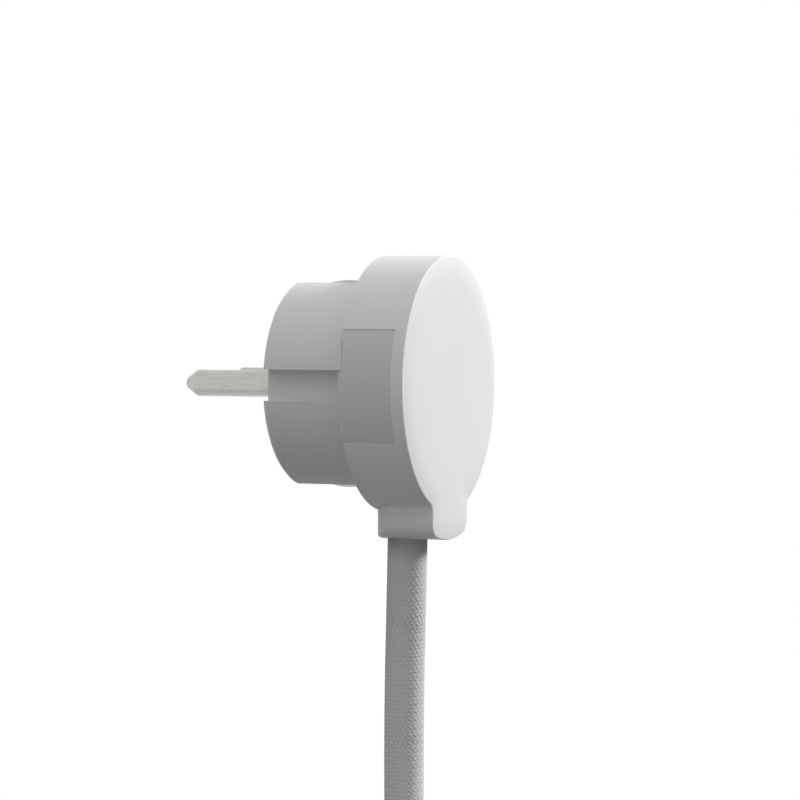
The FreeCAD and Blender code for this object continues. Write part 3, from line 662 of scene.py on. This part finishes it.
# %% metals
def metal(name, light, dark, rough, ring_size=None):
    """Plated metal with a slow change of tone, hairlines along Y and, if given, turned rings."""
    material, wire = begin(name)
    place = place_on_piece(wire)
    tone = noise(wire, place, scale=170.0, detail=4.0, roughness=0.6)
    drawn = wire.node("Mapping", None, {"Vector": place, "Scale": (1.0, 0.03, 1.0)})
    hair = noise(wire, drawn, scale=9000.0, detail=3.0, roughness=0.55)
    relief = hair
    if ring_size:
        relief = hair + bands(wire, place, "Y", ring_size, distortion=0.6) * 0.5
    worn = ramp(wire, hair, (0.3, 0.7), (-0.25, 0.4), "LINEAR")
    colour = mix_colours(wire, tone * 0.7 + worn, light, dark)
    bump = wire.node("Bump", None, {"Strength": 0.25, "Distance": 0.01 * MM, "Height": relief})
    close(wire, {"Base Color": colour, "Metallic": 1.0, "Roughness": tone * 0.16 + hair * 0.1 + rough,
                 "Normal": bump})
    return material


nickel = metal("nickel", (0.58, 0.57, 0.55), (0.38, 0.372, 0.355), 0.16, 0.16 * MM)
screw_steel = metal("screw_steel", (0.55, 0.55, 0.56), (0.42, 0.42, 0.43), 0.25)
copper = metal("copper", (0.62, 0.33, 0.19), (0.48, 0.24, 0.13), 0.28)
tinned = metal("tinned", (0.62, 0.63, 0.64), (0.48, 0.49, 0.50), 0.24)
for material, names in ((nickel, ("line_pin", "neutral_pin", "earth_strip", "earth_sleeve")),
                        (screw_steel, ("clamp_screws",)),
                        (copper, ("line_wire", "neutral_wire", "earth_wire")),
                        (tinned, ("line_ferrule", "neutral_ferrule", "earth_ferrule"))):
    for name in names:
        wear(nodes[name], material)
print("metal on pins, strip, sleeve, screws, wires and ferrules")

# %% [markdown]
# ## Cores, sheath, tie and sleeve
# Core insulation is soft plastic: brown, blue, and green with a yellow stripe. The stripe could be a thin
# strip of its own. The earth core lies in the middle of the plug, though, so a narrow band about X = 0 in
# the material is enough. The tie is a dark elastic band with fine ribs, and the sleeve at the free end is
# shrunk plastic that has drawn into faint rings.

# %% soft plastics
HALF_STRIPE = 0.45 * MM


def soft_plastic(name, light, dark, rough, rib_size=None, stripe=None):
    """Soft plastic or rubber with a fine bump and, if given, ribs or a stripe along the middle."""
    material, wire = begin(name)
    place = place_on_piece(wire)
    grain = noise(wire, place, scale=2400.0, detail=3.0, roughness=0.6)
    tone = noise(wire, place, scale=240.0, detail=3.0, roughness=0.6)
    colour = mix_colours(wire, tone, light, dark)
    relief = grain
    if rib_size:
        relief = grain * 0.3 + bands(wire, place, "Z", rib_size, distortion=0.4)
    if stripe:
        x = wire.node("SeparateXYZ", None, {0: place}, "X")
        band = wire.maths("LESS_THAN", wire.maths("ABSOLUTE", x), HALF_STRIPE)
        colour = mix_colours(wire, band, colour, stripe)
    bump = wire.node("Bump", None, {"Strength": 0.4, "Distance": 0.06 * MM, "Height": relief})
    close(wire, {"Base Color": colour, "Roughness": grain * 0.15 + rough, "Normal": bump, "IOR": 1.48,
                 "Specular IOR Level": 0.4})
    return material


core_brown = soft_plastic("core_brown", (0.13, 0.055, 0.028), (0.10, 0.042, 0.02), 0.32)
core_blue = soft_plastic("core_blue", (0.035, 0.13, 0.42), (0.028, 0.10, 0.34), 0.32)
core_green = soft_plastic("core_green", (0.05, 0.24, 0.06), (0.04, 0.19, 0.045), 0.32,
                          stripe=(0.66, 0.56, 0.04))
sheath = soft_plastic("sheath", (0.66, 0.66, 0.65), (0.60, 0.60, 0.59), 0.42)
tie_rubber = soft_plastic("tie_rubber", (0.055, 0.055, 0.058), (0.04, 0.04, 0.042), 0.55, 1.0 * MM)
shrink_sleeve = soft_plastic("shrink_sleeve", (0.70, 0.70, 0.69), (0.63, 0.63, 0.62), 0.4, 2.2 * MM)
for material, names in ((core_brown, ("line_core", "line_tail")),
                        (core_blue, ("neutral_core", "neutral_tail")),
                        (core_green, ("earth_core", "earth_tail")),
                        (sheath, ("cord_jacket",)),
                        (tie_rubber, ("hank_tie",)),
                        (shrink_sleeve, ("tail_sleeve",))):
    for name in names:
        wear(nodes[name], material)
print("soft plastic on cores, sheath, tie and sleeve")

# %% [markdown]
# ## Textile braid
# The same two sets of yarns as in the mesh are worked out again from the UV map: a whole number names
# the yarn, and the part after the point says how far across it a place lies. A picture of a braid would
# blur close up, and this stays sharp at any distance.

# %% yarns
braid, wire = begin("braid")
uv = wire.node("UVMap", {"uv_map": "braid"})
distance = wire.node("SeparateXYZ", None, {0: uv}, "X")
turn_share = wire.node("SeparateXYZ", None, {0: uv}, "Y")
right = turn_share * float(YARNS) + distance / YARN_PITCH
left = turn_share * float(YARNS) - distance / YARN_PITCH
right_name = wire.maths("FLOOR", right)
left_name = wire.maths("FLOOR", left)
swing = wire.maths("SINE", (right_name - left_name) * (math.pi / 2) + math.pi / 4)
over = wire.maths("GREATER_THAN", swing, 0.0)


def pick(when_right, when_left):
    """The value of whichever yarn is on top."""
    return over * when_right + (1 - over) * when_left


def yarn_back(across, lengthwise):
    """Height of a yarn: round across it, and arched along it where it passes over two others."""
    round_back = wire.maths("POWER", wire.maths("ABSOLUTE", wire.maths("SINE", across * math.pi)), 0.5)
    arch = wire.maths("ABSOLUTE", wire.maths("SINE", lengthwise * (math.pi / 2)))
    return round_back * (arch * (1 - FLAT_SHARE) + FLAT_SHARE)


def fibres(across, lengthwise):
    """Noise that is stretched along a yarn."""
    spread = wire.node("CombineXYZ", None, {"X": across * 7.0, "Y": lengthwise * 0.8})
    return noise(wire, spread, scale=1.0, detail=3.0, roughness=0.6)


def lot(number):
    """A chance value for each yarn."""
    return wire.node("TexWhiteNoise", {"noise_dimensions": "1D"}, {"W": number})


back = pick(yarn_back(right, left - right_name + 1), yarn_back(left, right - left_name))
fibre = pick(fibres(right, left), fibres(left, right))
yarn_tone = pick(lot(right_name), lot(left_name + 0.5))
print("yarns: %d nodes" % len(braid.node_tree.nodes))

# %% [markdown]
# The gaps between yarns get a little painted shade, fibres run along each yarn, and no two yarns have quite
# the same tone. Away from the plug the bump takes over from the mesh. Where the cord leaves the tongue, a
# painted shadow of the tongue darkens it a little.

# %% braid
EXIT_DISTANCE = 5.2 * MM
# Reach and tone of the painted shadow that the tongue would cast on the cord.
EXIT_SHADOW_LENGTH = 5 * MM
EXIT_SHADOW_TONE = (0.30, 0.30, 0.295)

# Painted shade: the colour is darker where the yarns are low, in the gaps between them; the fibre streaks and
# the tone of each yarn are the yarns' own.
shade = back * 0.75 + fibre * 0.35 + yarn_tone * 0.12 - 0.15
colour = mix_colours(wire, shade, (0.57, 0.57, 0.567), (0.71, 0.71, 0.706))
# Painted shadow: the cord is darkened over 5 mm below where it leaves the tongue.
exit_shadow = ramp(wire, distance, (EXIT_DISTANCE, EXIT_DISTANCE + EXIT_SHADOW_LENGTH), (0.45, 0.0))
colour = mix_colours(wire, exit_shadow, colour, EXIT_SHADOW_TONE)
far = ramp(wire, distance, (FINE_LENGTH - FADE_LENGTH, FINE_LENGTH), (0.0, 1.0), "LINEAR")
bump = wire.node("Bump", None, {"Strength": 0.8, "Distance": 0.25 * MM, "Height": back * far + fibre * 0.22})
close(wire, {"Base Color": colour, "Roughness": fibre * 0.15 + 0.72, "Normal": bump,
             "Specular IOR Level": 0.2, "Sheen Weight": 0.06, "Sheen Roughness": 0.5})
wear(textile_cord, braid)
print("braid on the cord")
